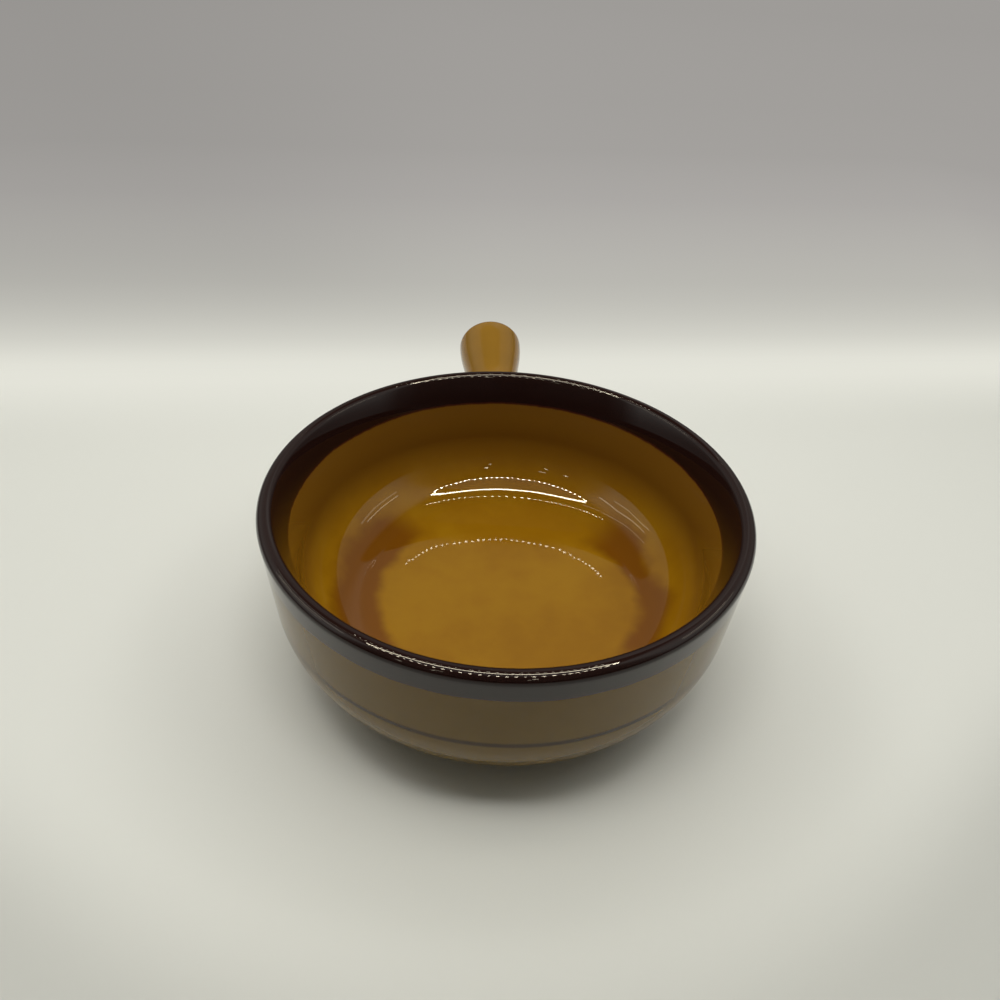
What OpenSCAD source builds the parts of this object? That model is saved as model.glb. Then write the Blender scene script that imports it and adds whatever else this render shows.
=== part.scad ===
// Lug soup bowl in glazed stoneware: a round bowl on a turned foot, with one stub handle luted to its side.
// The origin is the middle of the foot ring, on its resting face. +Z is up and the handle points along +Y.
// Sizes are finished sizes, measured over the glaze, unless they say otherwise.

/* [Bowl] */
// Outside diameter of the lip
rim_d = 140; // [124:1:160]
// Height from the resting face to the top of the lip
bowl_h = 56; // [50:0.5:66]
// Thickness of the rounded lip
lip_t = 4.2; // [3:0.1:5.4]
// Lean of the side in from upright, going down, in degrees
side_lean = 3.2; // [1:0.1:6]
// Thickness of the side where its outside begins to curve in
side_t = 7.8; // [6:0.1:10]
// Thickness of the floor
floor_t = 7.8; // [6:0.1:10]
// Radius of the cove between the hollow's side and its floor
cove_r = 20; // [14:0.5:24]

/* [Foot] */
// Outside diameter of the foot ring
foot_d = 98; // [84:1:108]
// Height of the foot ring's bare outer face
foot_h = 2.5; // [1.5:0.1:4]
// Width of the foot ring
foot_w = 5.2; // [4:0.1:8]
// Rounding of the foot ring's two bottom edges
foot_round = 0.8; // [0.3:0.1:1.2]
// Depth of the hollow under the base, inside the foot ring
recess_h = 3.6; // [3.2:0.1:5]
// Radius in the corner between that hollow and the foot ring
recess_r = 1.8; // [0.8:0.1:1.9]

/* [Glaze] */
// Thickness of every coat of glaze
glaze_t = 0.4; // [0.2:0.05:0.6]
// How far the dark glaze of the rim reaches down the inside, below the top of the lip
rim_in = 9.9; // [6:0.1:14]
// How far the dark glaze of the rim reaches down the outside, below the top of the lip
rim_out = 7.8; // [5:0.1:12]
// Height of the lip above the middle of the brown line
line_drop = 25.7; // [20:0.1:29]
// Width of the brown line
line_w = 1.6; // [0.8:0.1:3]
// Depth of the brown line in the glaze
line_t = 0.2; // [0.1:0.01:0.2]

/* [Handle] */
// Height of the lip above the handle's axis, where the axis meets the side
handle_drop = 15; // [14.5:0.1:22]
// Rise of the handle towards its end, in degrees
handle_rise = 10; // [0:0.5:20]
// Length of the handle along its axis, from the side to its end
handle_l = 41.9; // [34:0.1:60]
// Diameter of the handle's root, where it is widest inside the side
root_d = 23.4; // [20:0.1:25]
// Distance along the axis from the side to the handle's neck
neck_at = 10; // [6:0.1:14]
// Diameter of the handle's neck
neck_d = 18.4; // [14:0.1:19]
// Diameter of the handle's knob
knob_d = 24.1; // [20.5:0.1:28]
// Length of the knob's domed end
dome_l = 6.3; // [4:0.1:12]
// Thickness of the slip that lutes the handle to the side, over the bare clay
slip_t = 0.5; // [0.3:0.05:0.8]

/* [Hidden] */
$fn = 144;
// Steps of each curved stretch of an outline
lip_steps = 14;
belly_steps = 6;
cove_steps = 18;
turn_steps = 18;
corner_steps = 6;
flare_steps = 8;
swell_steps = 12;
dome_steps = 16;

// Colours of the bare clay, the slip and the glazes
clay_colour = [0.76, 0.68, 0.56];
slip_colour = [0.66, 0.56, 0.44];
honey_colour = [0.55, 0.40, 0.17];
rim_colour = [0.11, 0.06, 0.05];
line_colour = [0.20, 0.13, 0.08];

// The rounded lip
lip_r = lip_t / 2;
lip_c = [rim_d / 2 - lip_r, bowl_h - lip_r];

// The outside: a straight leaning side, then one curve tangent to it that ends on top of the foot ring
side_out = [cos(side_lean), -sin(side_lean)];
side_down = [-sin(side_lean), -cos(side_lean)];
line_top = bowl_h - line_drop + line_w / 2;
turn_h = bowl_h - line_drop - line_w / 2;
turn_p = on_side(turn_h, 0);
foot_p = [foot_d / 2, foot_h];
turn_v = foot_p - turn_p;
turn_r = turn_v * turn_v / (-2 * (turn_v * side_out));
turn_c = turn_p - turn_r * side_out;
foot_a = atan2(foot_p[1] - turn_c[1], foot_p[0] - turn_c[0]);

// The hollow: a flat floor, a round cove, and a belly arc tangent to both the cove and the lip
hollow_r = turn_p[0] - side_t;
floor_h = recess_h + floor_t;
cove_c = [hollow_r - cove_r, floor_h + cove_r];
lip_v = lip_c - [hollow_r, cove_c[1]];
belly_r = (lip_v * lip_v - lip_r * lip_r) / (2 * (lip_v[0] - lip_r));
belly_c = [hollow_r + belly_r, cove_c[1]];
lip_a = asin(lip_v[1] / (belly_r - lip_r));
rim_a = asin((bowl_h - rim_in - belly_c[1]) / belly_r);

// The foot ring and the hollow under the base
foot_out = turn_c[0] + (turn_r - glaze_t) * cos(foot_a);
foot_in = foot_d / 2 - foot_w;
recess_c = [foot_in - recess_r, recess_h - recess_r];

// The handle, whose own Z runs out along its axis from where the axis meets the side
root_r = root_d / 2;
neck_r = neck_d / 2;
knob_r = knob_d / 2;
root_p = on_side(bowl_h - handle_drop, 0);
root_sink = root_r * (root_r / (2 * root_p[0]) + sin(handle_rise + side_lean)) + 2 * glaze_t;
knob_at = handle_l - dome_l;

// The points of an arc after its first one
function bend(c, r, a0, a1, n) =
    [for (i = [1:n]) let (a = a0 + (a1 - a0) * i / n) c + r * [cos(a), sin(a)]];

function backwards(p) = [for (i = [len(p) - 1:-1:0]) p[i]];

function after_first(p) = [for (i = [1:len(p) - 1]) p[i]];

// The point of the straight side at a height, e under the finished surface
function on_side(h, e) =
    let (top = lip_c + lip_r * side_out) top + side_down * (top[1] - h) / cos(side_lean) - e * side_out;

// Each path below runs e under the finished surface, and together they run from the floor over the lip to the foot
function hollow_path(e) = concat(
    [[0, floor_h - e], [cove_c[0], floor_h - e]],
    bend(cove_c, cove_r + e, -90, 0, cove_steps),
    bend(belly_c, belly_r - e, 180, 180 - rim_a, belly_steps)
);

function rim_path(e) = concat(
    bend(belly_c, belly_r - e, 180, 180 - rim_a, 1),
    bend(belly_c, belly_r - e, 180 - rim_a, 180 - lip_a, belly_steps),
    bend(lip_c, lip_r - e, 180 - lip_a, -side_lean, lip_steps),
    [on_side(bowl_h - rim_out, e)]
);

function side_path(e) = concat(
    [on_side(bowl_h - rim_out, e), turn_p - e * side_out],
    bend(turn_c, turn_r - e, -side_lean, foot_a, turn_steps)
);

// The same path on the finished surface, with the groove that holds the brown line
function grooved_path() = concat(
    [on_side(bowl_h - rim_out, 0), on_side(line_top, 0), on_side(line_top, line_t), turn_p - line_t * side_out, turn_p],
    bend(turn_c, turn_r, -side_lean, foot_a, turn_steps)
);

function base_path(e) = concat(
    [[0, recess_h + e], [recess_c[0], recess_h + e]],
    bend(recess_c, recess_r + e, 90, 0, corner_steps)
);

// The bare foot ring, from its outer face round the bottom to its inner face
function foot_path() = concat(
    [[foot_out, foot_round]],
    bend([foot_out - foot_round, foot_round], foot_round, 0, -90, corner_steps),
    [[foot_in + glaze_t + foot_round, 0]],
    bend([foot_in + glaze_t + foot_round, foot_round], foot_round, -90, -180, corner_steps)
);

// The handle's outline, e under its finished surface: it flares into the side, narrows to the neck, swells to the
// knob and ends in a dome
function handle_path(e) = concat(
    [[0, -root_sink]],
    [for (i = [0:flare_steps]) let (s = i / flare_steps)
        [neck_r + (root_r - neck_r) * (1 - s) * (1 - s) - e, -root_sink + (neck_at + root_sink) * s]],
    [for (i = [1:swell_steps]) let (s = i / swell_steps)
        [neck_r + (knob_r - neck_r) * (1 - cos(180 * s)) / 2 - e, neck_at + (knob_at - neck_at) * s]],
    [for (i = [1:dome_steps]) let (a = 90 * i / dome_steps)
        [(knob_r - e) * cos(a), knob_at + (dome_l - e) * sin(a)]]
);

// A skin of glaze between the finished surface and the clay
module skin(finished, bare) {
    rotate_extrude() polygon(concat(finished, backwards(bare)));
}

// Everything inside the bowl's outer surface, e under the finished surface
module bowl_form(e) {
    outer = concat(bend(lip_c, lip_r - e, 180 - lip_a, 90, 1), bend(lip_c, lip_r - e, 90, -side_lean, lip_steps),
        side_path(e));
    rotate_extrude() polygon(concat([[0, outer[len(outer) - 1][1]], [0, outer[0][1]]], outer));
}

module handle_form(e) {
    translate([0, root_p[0], root_p[1]]) rotate([handle_rise - 90, 0, 0]) rotate_extrude() polygon(handle_path(e));
}

module stoneware_bowl() {
    color(clay_colour) rotate_extrude() polygon(concat(
        hollow_path(glaze_t),
        after_first(rim_path(glaze_t)),
        after_first(side_path(glaze_t)),
        foot_path(),
        backwards(base_path(glaze_t))
    ));
}

module stoneware_handle() {
    color(clay_colour) difference() {
        handle_form(glaze_t);
        bowl_form(glaze_t - slip_t);
    }
}

module luting_slip() {
    color(slip_colour) intersection() {
        handle_form(glaze_t);
        difference() {
            bowl_form(glaze_t - slip_t);
            bowl_form(glaze_t);
        }
    }
}

module inside_glaze() {
    color(honey_colour) skin(hollow_path(0), hollow_path(glaze_t));
}

module rim_glaze() {
    color(rim_colour) difference() {
        skin(rim_path(0), rim_path(glaze_t));
        difference() {
            handle_form(0);
            bowl_form(2 * glaze_t);
        }
    }
}

module outside_glaze() {
    color(honey_colour) difference() {
        skin(grooved_path(), side_path(glaze_t));
        handle_form(0);
    }
}

module line_band() {
    color(line_colour) difference() {
        skin([on_side(line_top, 0), turn_p], [on_side(line_top, line_t), turn_p - line_t * side_out]);
        handle_form(0);
    }
}

module handle_glaze() {
    color(honey_colour) difference() {
        handle_form(0);
        handle_form(glaze_t);
        bowl_form(glaze_t);
    }
}

module base_glaze() {
    color(honey_colour) skin(base_path(0), base_path(glaze_t));
}

stoneware_bowl();
stoneware_handle();
luting_slip();
inside_glaze();
rim_glaze();
outside_glaze();
line_band();
handle_glaze();
base_glaze();
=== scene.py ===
from functools import partialmethod
from math import asin, atan2, cos, hypot, pi, radians, sin, tan

import bmesh
import bpy
from bpy.props import FloatProperty, FloatVectorProperty, IntProperty, PointerProperty
from mathutils import Matrix, Vector


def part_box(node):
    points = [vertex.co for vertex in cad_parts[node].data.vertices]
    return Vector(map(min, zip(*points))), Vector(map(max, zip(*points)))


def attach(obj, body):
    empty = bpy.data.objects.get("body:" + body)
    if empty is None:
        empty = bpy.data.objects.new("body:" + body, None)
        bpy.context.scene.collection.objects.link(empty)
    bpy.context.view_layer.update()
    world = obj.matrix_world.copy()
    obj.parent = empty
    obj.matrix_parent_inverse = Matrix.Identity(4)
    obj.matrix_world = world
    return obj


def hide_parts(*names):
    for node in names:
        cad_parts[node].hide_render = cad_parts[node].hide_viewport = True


bl_info = {
    "name": "Lug Soup Bowl",
    "version": (1, 0, 0),
    "blender": (4, 5, 0),
    "location": "View3D > Sidebar > Soup Bowl",
    "description": "Glazed stoneware soup bowl with a stub handle, dressed around its packed solids",
    "category": "Add Mesh",
}

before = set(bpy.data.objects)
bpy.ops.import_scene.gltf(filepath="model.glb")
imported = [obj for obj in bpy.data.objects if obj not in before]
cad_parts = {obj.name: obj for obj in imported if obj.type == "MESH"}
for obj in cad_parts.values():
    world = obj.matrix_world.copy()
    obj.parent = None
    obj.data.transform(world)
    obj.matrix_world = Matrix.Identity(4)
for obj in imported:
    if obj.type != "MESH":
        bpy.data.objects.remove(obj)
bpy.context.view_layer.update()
BODY = "root"
MM = 0.001

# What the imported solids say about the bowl's own sizes
RIM_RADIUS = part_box("rim_glaze")[1].x
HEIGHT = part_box("rim_glaze")[1].z
INNER_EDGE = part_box("inside_glaze")[1].z
OUTER_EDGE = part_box("outside_glaze")[1].z
LINE_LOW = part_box("line_band")[0].z
LINE_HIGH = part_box("line_band")[1].z


def length(name, description, default):
    """A length in metres, for a property group"""
    return FloatProperty(
        name=name, description=description, default=default, subtype="DISTANCE", unit="LENGTH")


def angle(name, description, default):
    """An angle, given here in degrees"""
    return FloatProperty(
        name=name, description=description, default=radians(default), subtype="ANGLE", unit="ROTATION")


def colour(name, description, default):
    """A colour as linear red, green and blue"""
    return FloatVectorProperty(
        name=name, description=description, default=default, subtype="COLOR", min=0, max=1)


class BowlForm(bpy.types.PropertyGroup):
    """Sizes of the bowl. The lip and the floor's dish are drawn as the reflections in the glaze show them"""
    rim_radius: length("Rim radius", "Outside radius of the lip", RIM_RADIUS)
    height: length("Height", "From the resting face to the top of the lip", HEIGHT)
    lip: length("Lip", "Thickness of the rounded lip", 4.5 * MM)
    lean: angle("Lean", "Lean of the side in from upright, going down", 3.2)
    side: length("Side", "Thickness of the side where its outside begins to curve in", 7.8 * MM)
    floor: length("Floor", "Thickness of the floor", 7.8 * MM)
    cove: length("Cove", "Radius between the hollow's side and its floor", 20 * MM)
    dish: length("Dish", "Radius to which the glazed floor is dished", 371 * MM)
    foot_radius: length("Foot radius", "Outside radius of the foot ring", 49 * MM)
    foot_height: length("Foot height", "Height of the foot ring's bare outer face", 2.5 * MM)
    foot_width: length("Foot width", "Width of the foot ring", 5.2 * MM)
    recess: length("Recess", "Depth of the hollow under the base", 3.6 * MM)
    recess_round: length("Recess round", "Radius in the corner of the hollow under the base", 1.8 * MM)
    steps_around: IntProperty(name="Steps around", description="Facets round the bowl", default=192, min=48)
    wobble: length("Wobble", "How far the finished surface strays from a true round", 0.08 * MM)


class GlazeCoats(bpy.types.PropertyGroup):
    """Sizes of the coats of glaze"""
    coat: length("Coat", "Thickness of every coat", 0.4 * MM)
    inner_edge: length("Inner edge", "Height of the dark glaze's edge inside", INNER_EDGE)
    outer_edge: length("Outer edge", "Height of the dark glaze's edge outside", OUTER_EDGE)
    line_low: length("Line bottom", "Height of the brown line's lower edge", LINE_LOW)
    line_high: length("Line top", "Height of the brown line's upper edge", LINE_HIGH)
    line_depth: length("Line depth", "Depth of the brown line in the glaze", 0.2 * MM)


class HandleForm(bpy.types.PropertyGroup):
    """Sizes of the stub handle, along its own axis"""
    drop: length("Drop", "Height of the lip above the axis, where it meets the side", 15 * MM)
    rise: angle("Rise", "Rise of the handle towards its end", 10)
    long: length("Length", "From the side to the end, along the axis", 41.9 * MM)
    root_radius: length("Root radius", "Radius of the root, where it is widest inside the side", 11.7 * MM)
    neck_at: length("Neck place", "From the side to the neck, along the axis", 10 * MM)
    neck_radius: length("Neck radius", "Radius of the neck", 9.2 * MM)
    knob_radius: length("Knob radius", "Radius of the knob", 12.05 * MM)
    dome: length("Dome", "Length of the knob's domed end", 6.3 * MM)
    fillet: length("Fillet", "Radius of the glazed hollow where the root meets the side", 2.4 * MM)
    steps_around: IntProperty(name="Steps around", description="Facets round the handle", default=96, min=24)


class Finishes(bpy.types.PropertyGroup):
    """Colours of the clay and the glazes"""
    honey: colour("Honey", "Honey glaze where it is thin", (0.308, 0.148, 0.0040))
    deep_honey: colour("Deep honey", "Honey glaze where it is thick", (0.262, 0.115, 0.0026))
    # Painted shade and painted sheen: the hollow's side, darker and greyer than the floor's honey
    wall_shade_sheen_honey: colour("Wall honey", "Honey glaze, thin on the hollow's side", (0.181, 0.081, 0.0085))
    # Painted shade: darker, redder honey at two sides of the cove, where the glaze mirrors the dark rim
    cove_shade_honey: colour("Pool honey", "Honey glaze where it pooled in the cove", (0.170, 0.058, 0.0025))
    handle_honey: colour("Handle honey", "Honey glaze on the handle", (0.298, 0.150, 0.0180))
    # Painted shade: the outside's honey is darkened to stand for the shade on the bowl's side
    shaded_outer_honey: colour("Outer honey", "Honey glaze on the bowl's outside", (0.185, 0.103, 0.0070))
    dark: colour("Dark", "Dark glaze of the rim", (0.0160, 0.0060, 0.0043))
    maroon: colour("Maroon", "Dark glaze where it thins out over the honey glaze", (0.050, 0.0110, 0.0050))
    line: colour("Line", "Brown line on the side", (0.056, 0.024, 0.0025))
    clay: colour("Clay", "Bare fired stoneware", (0.430, 0.310, 0.190))
    iron: colour("Iron", "Specks of iron in the clay", (0.110, 0.060, 0.030))
    slip: colour("Slip", "Slip under the handle's root", (0.300, 0.190, 0.100))


class Studio(bpy.types.PropertyGroup):
    """The camera and the light"""
    azimuth: angle("Azimuth", "Where the camera stands, round from the front", -5.9)
    elevation: angle("Elevation", "Height of the camera, seen from the rim's centre", 36.448)
    roll: angle("Roll", "Turn of the camera about its line to the rim's centre", 3.569)
    distance: length("Distance", "From the rim's centre to the camera", 0.2156)
    ceiling: length("Ceiling", "Height of the strip lamps above the rim", 0.49)
    floor_grey: FloatProperty(
        name="Floor grey", description="How much light the floor gives back", default=0.76)


# The rim's centre and the focal length, in pixels of the square image
IMAGE_SIDE = 1000
RIM_CENTRE_PIXEL = (508.094, 484.886)
FOCAL_PIXELS = 751
# Width of the camera's sensor, in millimetres, and the nearest distance that it sees, in metres
SENSOR = 36
CLIP_START = 0.01


class Wheel:
    """The outlines of the bowl, each e under the finished surface, as the potter's wheel would turn them"""

    # Steps of each stretch of an outline
    LIP_STEPS = 20
    RIM_STEPS = 7
    BELLY_STEPS = 14
    SIDE_STEPS = 14
    COVE_STEPS = 48
    TURN_STEPS = 30
    CORNER_STEPS = 8
    FLAT_STEPS = 16
    LINE_STEPS = 4

    def __init__(self, form, coats):
        self.form, self.coats = form, coats
        lean = form.lean
        self.side_out = Vector((cos(lean), -sin(lean)))
        self.side_down = Vector((-sin(lean), -cos(lean)))
        self.lip_r = form.lip / 2
        self.lip_c = Vector((form.rim_radius - self.lip_r, form.height - self.lip_r))
        # The outside: a straight leaning side, then one curve tangent to it that ends on the foot ring
        self.turn = self.on_side(coats.line_low, 0)
        foot = Vector((form.foot_radius, form.foot_height))
        chord = foot - self.turn
        self.turn_r = chord.dot(chord) / (-2 * chord.dot(self.side_out))
        self.turn_c = self.turn - self.turn_r * self.side_out
        self.foot_a = atan2(foot.y - self.turn_c.y, foot.x - self.turn_c.x)
        # The hollow: a dished floor, a round cove, and a belly arc tangent to both the cove and the lip
        hollow_r = self.turn.x - form.side
        self.floor_z = form.recess + form.floor
        reach = hollow_r - form.cove
        self.dish_c = Vector((0, self.floor_z + form.dish))
        self.dish_a = asin(reach / (form.dish - form.cove)) - pi / 2
        self.cove_c = Vector((reach, self.dish_c.y + (form.dish - form.cove) * sin(self.dish_a)))
        up = self.lip_c - Vector((hollow_r, self.cove_c.y))
        self.belly_r = (up.dot(up) - self.lip_r ** 2) / (2 * (up.x - self.lip_r))
        self.belly_c = Vector((hollow_r + self.belly_r, self.cove_c.y))
        self.lip_a = asin(up.y / (self.belly_r - self.lip_r))
        self.rim_a = asin((coats.inner_edge - self.belly_c.y) / self.belly_r)
        self.foot_in = form.foot_radius - form.foot_width
        self.recess_c = Vector((self.foot_in - form.recess_round, form.recess - form.recess_round))

    @staticmethod
    def bend(centre, radius, start, end, steps):
        """The points of an arc, both ends included"""
        turns = [start + (end - start) * i / steps for i in range(steps + 1)]
        return [centre + radius * Vector((cos(a), sin(a))) for a in turns]

    @staticmethod
    def straight(start, end, steps):
        """The points of a straight stretch, both ends included"""
        return [start + (end - start) * i / steps for i in range(steps + 1)]

    def on_side(self, height, e):
        """The point of the straight side at a height"""
        top = self.lip_c + self.lip_r * self.side_out
        return top + self.side_down * (top.y - height) / cos(self.form.lean) - e * self.side_out

    def hollow(self, e):
        return (
            self.bend(self.dish_c, self.form.dish + e, -pi / 2, self.dish_a, self.FLAT_STEPS)
            + self.bend(self.cove_c, self.form.cove + e, self.dish_a, 0, self.COVE_STEPS)[1:]
            + self.bend(self.belly_c, self.belly_r - e, pi, pi - self.rim_a, self.BELLY_STEPS)[1:]
        )

    def rim(self, e):
        lip = self.bend(self.lip_c, self.lip_r - e, pi - self.lip_a, -self.form.lean, self.LIP_STEPS)
        return (
            self.bend(self.belly_c, self.belly_r - e, pi - self.rim_a, pi - self.lip_a, self.RIM_STEPS)
            + lip[1:]
            + self.straight(lip[-1], self.on_side(self.coats.outer_edge, e), self.RIM_STEPS)[1:]
        )

    def side(self, e):
        top = self.on_side(self.coats.outer_edge, e)
        return (
            self.straight(top, self.on_side(self.coats.line_high, e), self.SIDE_STEPS)
            + [self.turn - e * self.side_out]
            + self.bend(self.turn_c, self.turn_r - e, -self.form.lean, self.foot_a, self.TURN_STEPS)[1:]
        )

    def grooved_side(self):
        """The finished side, with the groove that holds the brown line"""
        depth = self.coats.line_depth
        high = self.coats.line_high
        return (
            self.straight(self.on_side(self.coats.outer_edge, 0), self.on_side(high, 0), self.SIDE_STEPS)
            + [self.on_side(high, depth), self.turn - depth * self.side_out]
            + self.bend(self.turn_c, self.turn_r, -self.form.lean, self.foot_a, self.TURN_STEPS)
        )

    def line(self, e):
        return self.straight(
            self.on_side(self.coats.line_high, e), self.turn - e * self.side_out, self.LINE_STEPS)

    def base(self, e):
        flat = Vector((self.recess_c.x, self.form.recess + e))
        corner = self.bend(self.recess_c, self.form.recess_round + e, pi / 2, 0, self.CORNER_STEPS)
        return self.straight(Vector((0, flat.y)), flat, self.FLAT_STEPS) + corner[1:]

    def side_radius(self, height):
        """Radius of the finished side at a height"""
        return self.on_side(height, 0).x


class Value:
    """A number or vector in a node tree, on which Python's arithmetic adds Math nodes"""

    def __init__(self, tree, socket):
        self.tree, self.socket = tree, socket

    def math(self, operation, *others):
        """The outcome of a Math node on this value and any others"""
        return self.tree.value("Math", {"operation": operation}, dict(enumerate((self, *others))))

    def __rsub__(self, other):
        return self.tree.value("Math", {"operation": "SUBTRACT"}, {0: other, 1: self})

    __add__ = __radd__ = partialmethod(math, "ADD")
    __sub__ = partialmethod(math, "SUBTRACT")
    __mul__ = __rmul__ = partialmethod(math, "MULTIPLY")
    __truediv__ = partialmethod(math, "DIVIDE")
    __pow__ = partialmethod(math, "POWER")
    least = partialmethod(math, "MINIMUM")
    most = partialmethod(math, "MAXIMUM")
    size = partialmethod(math, "ABSOLUTE")


class Tree:
    """A node tree under construction. add() is the one way a node gets into it"""

    def __init__(self, tree, prefix):
        self.nodes, self.links, self.prefix = tree.nodes, tree.links, prefix

    def add(self, kind, settings=None, values=None):
        """A node of a kind, with its settings made first and then its sockets set or linked"""
        node = self.nodes.new(kind if "Node" in kind else self.prefix + kind)
        for name, setting in (settings or {}).items():
            if name == "stops":
                self._stops(node.color_ramp, setting)
            else:
                setattr(node, name, setting)
        for name, value in (values or {}).items():
            self._set(node.inputs[name], value)
        return node

    def _stops(self, ramp, stops):
        while len(ramp.elements) > len(stops):
            ramp.elements.remove(ramp.elements[-1])
        while len(ramp.elements) < len(stops):
            ramp.elements.new(1)
        for element, (place, shade) in zip(ramp.elements, stops):
            element.position = place
            element.color = (*shade, 1)

    def _set(self, socket, value):
        if isinstance(value, Value):
            value = value.socket
        if isinstance(value, bpy.types.NodeSocket):
            self.links.new(value, socket)
        elif socket.type == "RGBA" and len(value) == 3:
            socket.default_value = (*value, 1)
        else:
            socket.default_value = value

    def value(self, kind, settings=None, values=None):
        """A new node's first output as a Value"""
        return Value(self, self.add(kind, settings, values).outputs[0])

    def step(self, value, low, high):
        """0 below low, 1 above high, smooth between"""
        settings = {"interpolation_type": "SMOOTHSTEP"}
        return self.value("MapRange", settings, {"Value": value, "From Min": low, "From Max": high})


class Finish(Tree):
    """A material under construction"""

    def __init__(self, name):
        self.material = bpy.data.materials.new(name)
        self.material.use_nodes = True
        super().__init__(self.material.node_tree, "ShaderNode")
        self.nodes.clear()
        self.output = self.add("OutputMaterial")
        self.place = self.add("TexCoord").outputs["Object"]
        parts = self.add("SeparateXYZ", values={0: self.place})
        self.x, self.y, self.z = (Value(self, socket) for socket in parts.outputs)
        self.radius = (self.x * self.x + self.y * self.y) ** 0.5

    def noise(self, scale, detail=2, rough=0.5):
        """Smooth noise about 0.5, scale features to a metre"""
        values = {"Vector": self.place, "Scale": scale, "Detail": detail, "Roughness": rough}
        return self.value("TexNoise", values=values)

    def blend(self, factor, first, second):
        """A colour between two, by a factor from 0 to 1"""
        node = self.add("Mix", {"data_type": "RGBA"}, {0: factor, 6: first, 7: second})
        return node.outputs[2]

    def bump(self, height, distance):
        """The surface's direction, tipped by a height whose full range is a distance"""
        return self.add("Bump", values={"Height": height, "Distance": distance}).outputs[0]

    def surface(self, **sockets):
        """Ends the material in one glossy or matt surface, whose sockets' names have _ for a space"""
        values = {name.replace("_", " "): value for name, value in sockets.items()}
        shader = self.add("BsdfPrincipled", values=values)
        self.links.new(shader.outputs[0], self.output.inputs["Surface"])
        return self.material


# Scales of the finishes' own detail and of the painted shade in the cove, in features to a metre
DRIFT_SCALE = 26
MOTTLE_SCALE = 120
EDGE_SCALE = 75
EDGE_FINE_SCALE = 420
PEEL_SCALE = 330
SPECK_SCALE = 900
GRIT_SCALE = 1700
COVE_SHADE_SCALE = 38
COVE_SHADE_SIDE_SCALE = 0.6 * COVE_SHADE_SCALE
# Noise is even on both sides of this value
NOISE_MIDDLE = 0.5
# How much of the honey glaze's tone is drift, the rest being mottle, and where it turns from thin to thick
DRIFT_SHARE = 0.6
HONEY_TURN = (0.32, 0.68)
# How light thick glaze is beside thin glaze, outside and on the handle
OUTER_THICK = 0.9
HANDLE_THICK = 0.88
# How far the edges of the glazes stray, and how softly they end
EDGE_STRAY = 0.9 * MM
EDGE_FINE_STRAY = 0.35 * MM
EDGE_SOFT = 0.28 * MM
LINE_SOFT = 0.45 * MM
# Height over which the dark glaze thins out at its edges
THIN_BAND = 1.1 * MM
# Half the width over the top of the lip in which the dark glaze's outer edge takes over from its inner one
LIP_BLEND = 1 * MM
# How much of the edges' straying the brown line follows
LINE_STRAY = 0.3
# Distance off the side's wall, in radii of the fillet, over which the handle's colour takes over
ROOT_BLEND = (0.15, 0.45)
# The orange peel's height, and the roughness of the gloss
PEEL_HEIGHT = 0.0009 * MM
GLOSS = 0.006
GLOSS_CHANGE = 0.010
# How strongly the glazes mirror, as an index of refraction
GLAZE_IOR = 1.5
OUTER_IOR = 1.37
# Height over the floor, in rim radii, in which the hollow's side takes its painted shade and sheen
WALL_RISE = (0.10, 0.34)
# Where the painted shade in the cove starts and ends, in rim radii from the axis, and how far that strays
COVE_SHADE_START = (0.51, 0.58)
COVE_SHADE_END = (0.72, 0.80)
COVE_SHADE_STRAY = 0.22
# How far to the side it lies, from 0 before and behind the axis to 1 beside it, how far the two sides are
# turned out of line, and how far that strays
COVE_SHADE_SIDES = (0.66, 0.84)
COVE_SHADE_TURN = 0.05
COVE_SHADE_SIDE_STRAY = 0.25
# At the right it starts further out where it nears the front, in rim radii along X and Y
COVE_SHADE_SHIFT = 0.10
COVE_SHADE_RIGHT = (0, 0.3)
COVE_SHADE_FRONT = (0.05, 0.3)
# The bare clay: its darker patches, its grain and iron specks, and its turning rings
PATCH_SHADE = 0.82
SPECK_CUT = (0.70, 0.74)
TURNING_PITCH = 0.55 * MM
CLAY_ROUGHNESS = 0.72
CLAY_ROUGHNESS_CHANGE = 0.2
GRAIN_SHARE = 0.7
CLAY_RELIEF = 0.03 * MM


def darker(shade, share):
    """A colour dimmed to a share of itself"""
    return [share * part for part in shade]


def glaze_stray(finish):
    """How far the edges of the glazes stray up and down, in metres"""
    wide = (finish.noise(EDGE_SCALE) - NOISE_MIDDLE) * EDGE_STRAY
    fine = (finish.noise(EDGE_FINE_SCALE) - NOISE_MIDDLE) * EDGE_FINE_STRAY
    return wide + fine


def honey_colour(finish, thin, thick):
    """The honey glaze, which drifts from thin to thick over centimetres and mottles over millimetres"""
    drift = finish.noise(DRIFT_SCALE, detail=1)
    mottle = finish.noise(MOTTLE_SCALE, detail=4)
    tone = drift * DRIFT_SHARE + mottle * (1 - DRIFT_SHARE)
    return finish.blend(finish.step(tone, *HONEY_TURN), thin, thick)


def shaded_outer_colour(finish, tones):
    """The bowl's outside, its honey glaze darkened as painted shade"""
    return honey_colour(finish, tones.shaded_outer_honey, darker(tones.shaded_outer_honey, OUTER_THICK))


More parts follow.
